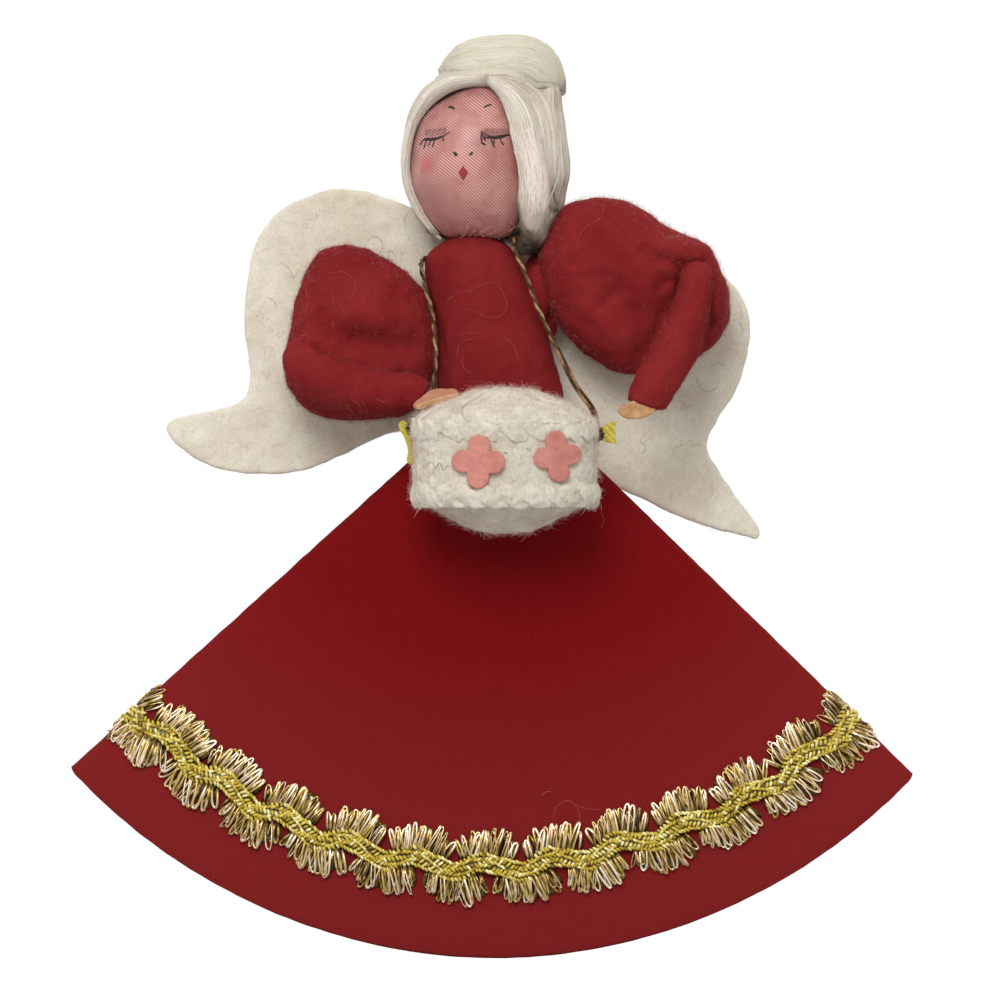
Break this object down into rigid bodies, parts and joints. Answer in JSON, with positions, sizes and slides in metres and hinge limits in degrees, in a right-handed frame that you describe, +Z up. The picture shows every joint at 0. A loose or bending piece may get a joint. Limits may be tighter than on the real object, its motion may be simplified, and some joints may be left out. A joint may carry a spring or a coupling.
{
  "type": "felt angel figurine",
  "caption": "Felt angel with a flat cone skirt, swept wings and puff sleeves, carrying a small drum on a neck strap; wired forearms bend.",
  "frame": {"origin": "middle of the flat underside of the body, at the top of the skirt's hollow, where a tree tip or a stand carries the figure", "axes": "+Z up through the body, the figure faces -Y, +X is the figure's left"},
  "size_m": [0.1608, 0.0531, 0.1755],
  "materials": {
    "red_felt": "matt wool felt with stray fibres",
    "cream_felt": "soft off-white wool felt, a little yellowed",
    "white_felt": "soft white wool felt",
    "white_thread": "white cotton whip stitching",
    "salmon_felt": "thin salmon felt",
    "face_satin": "pink satin with a fine diagonal weave and painted features",
    "floss": "silky off-white floss",
    "cotton": "pressed cotton",
    "card": "grey-brown card",
    "gold_braid": "gold tinsel loops on a plaited yellow cord",
    "birch": "plain turned wood",
    "steel_wire": "drawn wire",
    "hand_skin": "smooth tan skin, a little glossy",
    "hand_lining": "matt pink lining",
    "brown_cord": "twisted brown cord",
    "raffia": "yellow ribbon raffia"
  },
  "bodies": {
    "root": {"skirt": "red_felt", "skirt_liner": "card", "hem_braid": "gold_braid", "torso_cover": "red_felt", "torso_core": "cotton", "neck_peg": "birch", "left_puff_sleeve": "red_felt", "right_puff_sleeve": "red_felt", "left_shoulder_wire": "steel_wire", "right_shoulder_wire": "steel_wire", "head_ball": "cotton", "face_satin": "face_satin", "hair_left": "floss", "hair_right": "floss", "hair_back": "floss", "hair_bun": "floss", "wings": "cream_felt", "strap_knot_left": "brown_cord", "strap_knot_right": "brown_cord", "strap_cord": "brown_cord"},
    "drum": {"drum_band": "white_felt", "drum_top": "white_felt", "drum_bottom": "white_felt", "drum_filling": "cotton", "drum_seam_top": "white_thread", "drum_seam_bottom": "white_thread", "flower_left": "salmon_felt", "flower_right": "salmon_felt", "strap_tab_left": "raffia", "strap_tab_right": "raffia"},
    "left_forearm": {"left_forearm_sleeve": "red_felt", "left_forearm_wire": "steel_wire", "left_hand": "hand_skin", "left_hand_lining": "hand_lining"},
    "right_forearm": {"right_forearm_sleeve": "red_felt", "right_forearm_wire": "steel_wire", "right_hand": "hand_skin", "right_hand_lining": "hand_lining"}
  },
  "joints": [
    {"name": "drum_tip", "type": "hinge", "parent": "root", "child": "drum", "pos_m": [0.0009, -0.01817, 0.01395], "axis": [-1, 0, 0], "range_deg": [0, 20]},
    {"name": "left_forearm_bend", "type": "hinge", "parent": "root", "child": "left_forearm", "pos_m": [0.039, -0.0112, 0.0448], "axis": [0, -1, 0], "range_deg": [0, 45]},
    {"name": "right_forearm_bend", "type": "hinge", "parent": "root", "child": "right_forearm", "pos_m": [-0.0366, -0.008, 0.0273], "axis": [0, 0, -1], "range_deg": [0, 40]}
  ]
}
